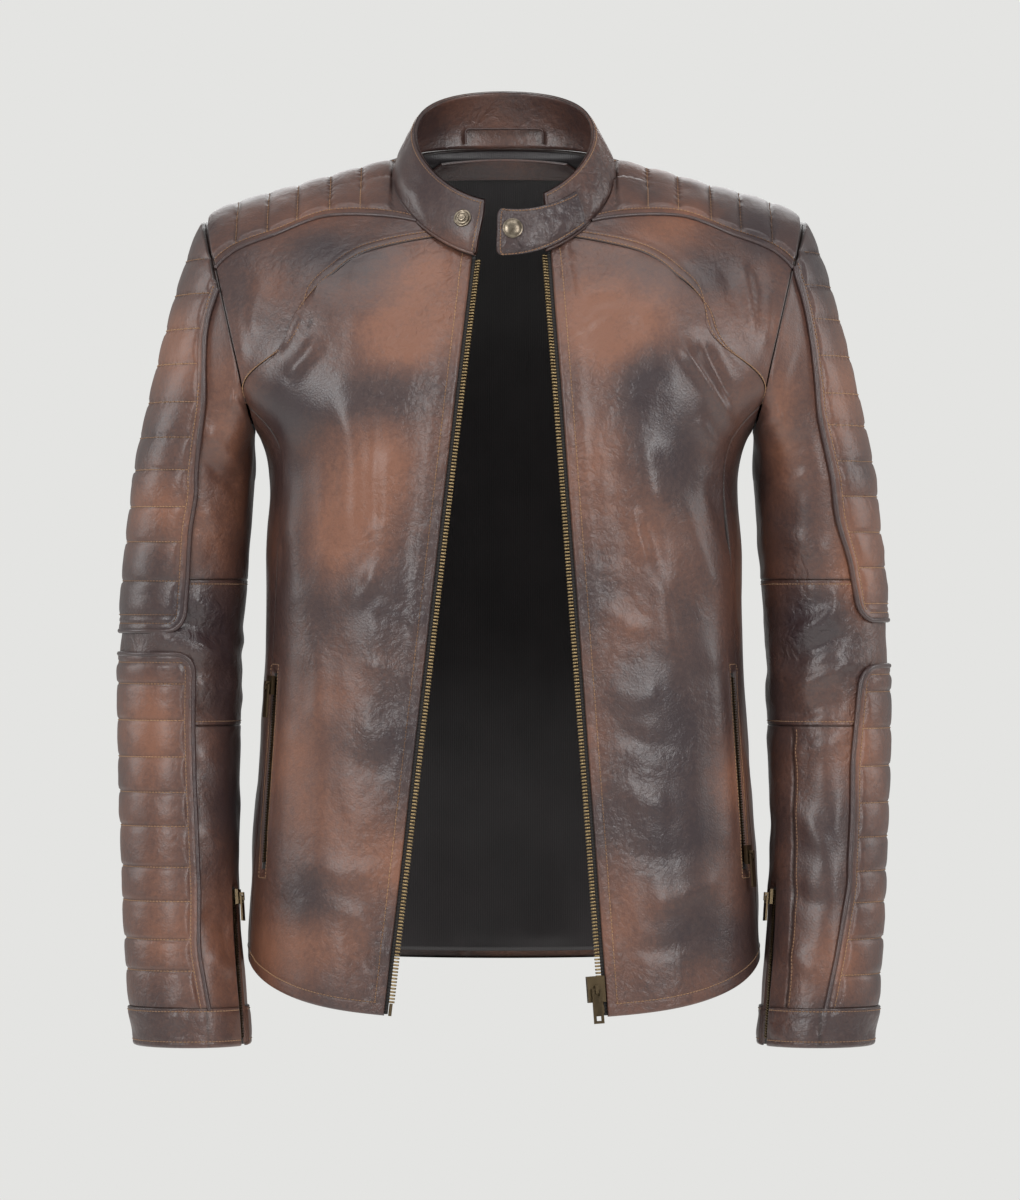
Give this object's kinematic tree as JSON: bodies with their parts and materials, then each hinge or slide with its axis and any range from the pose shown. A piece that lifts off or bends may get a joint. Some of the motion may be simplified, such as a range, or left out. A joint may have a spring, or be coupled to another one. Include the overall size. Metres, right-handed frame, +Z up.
{
  "type": "leather riding jacket",
  "caption": "Waist-length leather riding jacket with a snapped stand collar, quilted shoulders and sleeves, an open front zip and zipped pockets and cuffs.",
  "frame": {"origin": "middle of the neck opening, at the height of the neck end of the shoulder line", "axes": "+Z up, the front faces -Y, +X is the wearer's left"},
  "size_m": [0.5808, 0.2576, 0.7128],
  "materials": {
    "brown_leather": "waxed, two-tone rubbed brown",
    "dark_leather": "waxed, two-tone rubbed dark brown",
    "satin_lining": "satin weave",
    "zip_tape": "woven",
    "brass": "antique brass",
    "gunmetal": "dark plated"
  },
  "bodies": {
    "jacket_body": {"front_panel_left": "brown_leather", "front_yoke_left": "brown_leather", "facing_left": "brown_leather", "shoulder_pad_left": "dark_leather", "side_panel_left": "dark_leather", "lining_front_left": "satin_lining", "pocket_bag_left": "satin_lining", "front_zip_tape_left": "zip_tape", "front_zip_teeth_left": "brass", "pocket_zip_left": "brass", "front_panel_right": "brown_leather", "front_yoke_right": "brown_leather", "facing_right": "brown_leather", "shoulder_pad_right": "dark_leather", "side_panel_right": "dark_leather", "lining_front_right": "satin_lining", "pocket_bag_right": "satin_lining", "front_zip_tape_right": "zip_tape", "front_zip_teeth_right": "brass", "pocket_zip_right": "brass", "back_panel": "brown_leather", "back_yoke": "brown_leather", "collar_outer": "dark_leather", "collar_inner": "dark_leather", "neck_patch": "dark_leather", "hanger_loop": "dark_leather", "lining_back": "satin_lining", "snap_stud": "brass", "snap_post": "brass", "zip_retainer_box": "gunmetal", "zip_insertion_pin": "gunmetal"},
    "sleeve_left": {"sleeve_upper_left": "brown_leather", "sleeve_elbow_left": "brown_leather", "upper_arm_pad_left": "dark_leather", "sleeve_lining_left": "satin_lining"},
    "forearm_left": {"sleeve_forearm_left": "brown_leather", "forearm_pad_left": "dark_leather", "cuff_band_left": "dark_leather", "cuff_zip_left": "brass"},
    "pocket_slider_left": {"pocket_slider_left": "gunmetal"},
    "pocket_pull_left": {"pocket_pull_left": "gunmetal"},
    "cuff_slider_left": {"cuff_slider_left": "gunmetal"},
    "cuff_pull_left": {"cuff_pull_left": "gunmetal"},
    "sleeve_right": {"sleeve_upper_right": "brown_leather", "sleeve_elbow_right": "brown_leather", "upper_arm_pad_right": "dark_leather", "sleeve_lining_right": "satin_lining"},
    "forearm_right": {"sleeve_forearm_right": "brown_leather", "forearm_pad_right": "dark_leather", "cuff_band_right": "dark_leather", "cuff_zip_right": "brass"},
    "pocket_slider_right": {"pocket_slider_right": "gunmetal"},
    "pocket_pull_right": {"pocket_pull_right": "gunmetal"},
    "cuff_slider_right": {"cuff_slider_right": "gunmetal"},
    "cuff_pull_right": {"cuff_pull_right": "gunmetal"},
    "front_slider": {"front_slider": "gunmetal"},
    "front_pull": {"front_pull": "gunmetal"},
    "collar_tab": {"collar_tab": "dark_leather", "snap_cap": "brass", "snap_socket": "brass"}
  },
  "joints": [
    {"name": "front_zip_slide", "type": "slide", "parent": "jacket_body", "child": "front_slider", "axis": [-0.0735, 0.0374, 0.9966], "range_m": [0, 0.368]},
    {"name": "front_pull_hinge", "type": "hinge", "parent": "front_slider", "child": "front_pull", "pos_m": [0.06746, -0.13558, -0.61366], "axis": [-0.988, -0.1389, -0.0677], "range_deg": [0, 120]},
    {"name": "pocket_zip_slide_left", "type": "slide", "parent": "jacket_body", "child": "pocket_slider_left", "axis": [-0.0632, 0.024, 0.9977], "range_m": [0, 0.125]},
    {"name": "pocket_pull_hinge_left", "type": "hinge", "parent": "pocket_slider_left", "child": "pocket_pull_left", "pos_m": [0.18259, -0.06537, -0.5183], "axis": [-0.4753, -0.8798, -0.0089], "range_deg": [0, 120]},
    {"name": "pocket_zip_slide_right", "type": "slide", "parent": "jacket_body", "child": "pocket_slider_right", "axis": [-0.0632, -0.024, -0.9977], "range_m": [0, 0.125]},
    {"name": "pocket_pull_hinge_right", "type": "hinge", "parent": "pocket_slider_right", "child": "pocket_pull_right", "pos_m": [-0.17468, -0.06236, -0.39358], "axis": [-0.4753, 0.8798, 0.0089], "range_deg": [0, 120]},
    {"name": "collar_tab_hinge", "type": "hinge", "parent": "jacket_body", "child": "collar_tab", "pos_m": [0.05738, -0.05628, -0.04103], "axis": [-0.2612, 0.0754, 0.9623], "range_deg": [0, 60]},
    {"name": "shoulder_left", "type": "hinge", "parent": "jacket_body", "child": "sleeve_left", "pos_m": [0.2025, 0.004, -0.1315], "axis": [-0.9725, 0, 0.2327], "range_deg": [-12, 35]},
    {"name": "elbow_left", "type": "hinge", "parent": "sleeve_left", "child": "forearm_left", "pos_m": [0.24, -0.014, -0.36], "axis": [-1, 0, 0], "range_deg": [0, 60], "deforming": ["sleeve_elbow_left", "upper_arm_pad_left", "forearm_pad_left", "sleeve_lining_left"]},
    {"name": "cuff_zip_slide_left", "type": "slide", "parent": "forearm_left", "child": "cuff_slider_left", "axis": [-0.0642, -0.1301, -0.9894], "range_m": [0, 0.099]},
    {"name": "cuff_pull_hinge_left", "type": "hinge", "parent": "cuff_slider_left", "child": "cuff_pull_left", "pos_m": [0.19408, -0.03981, -0.55038], "axis": [-0.3255, 0.94, -0.1024], "range_deg": [0, 18]},
    {"name": "shoulder_right", "type": "hinge", "parent": "jacket_body", "child": "sleeve_right", "pos_m": [-0.2025, 0.004, -0.1315], "axis": [-0.9725, 0, -0.2327], "range_deg": [-12, 35]},
    {"name": "elbow_right", "type": "hinge", "parent": "sleeve_right", "child": "forearm_right", "pos_m": [-0.24, -0.014, -0.36], "axis": [-1, 0, 0], "range_deg": [0, 60], "deforming": ["sleeve_elbow_right", "upper_arm_pad_right", "forearm_pad_right", "sleeve_lining_right"]},
    {"name": "cuff_zip_slide_right", "type": "slide", "parent": "forearm_right", "child": "cuff_slider_right", "axis": [0.0642, -0.1301, -0.9894], "range_m": [0, 0.099]},
    {"name": "cuff_pull_hinge_right", "type": "hinge", "parent": "cuff_slider_right", "child": "cuff_pull_right", "pos_m": [-0.19408, -0.03981, -0.55038], "axis": [-0.3255, -0.94, 0.1024], "range_deg": [0, 18]}
  ]
}
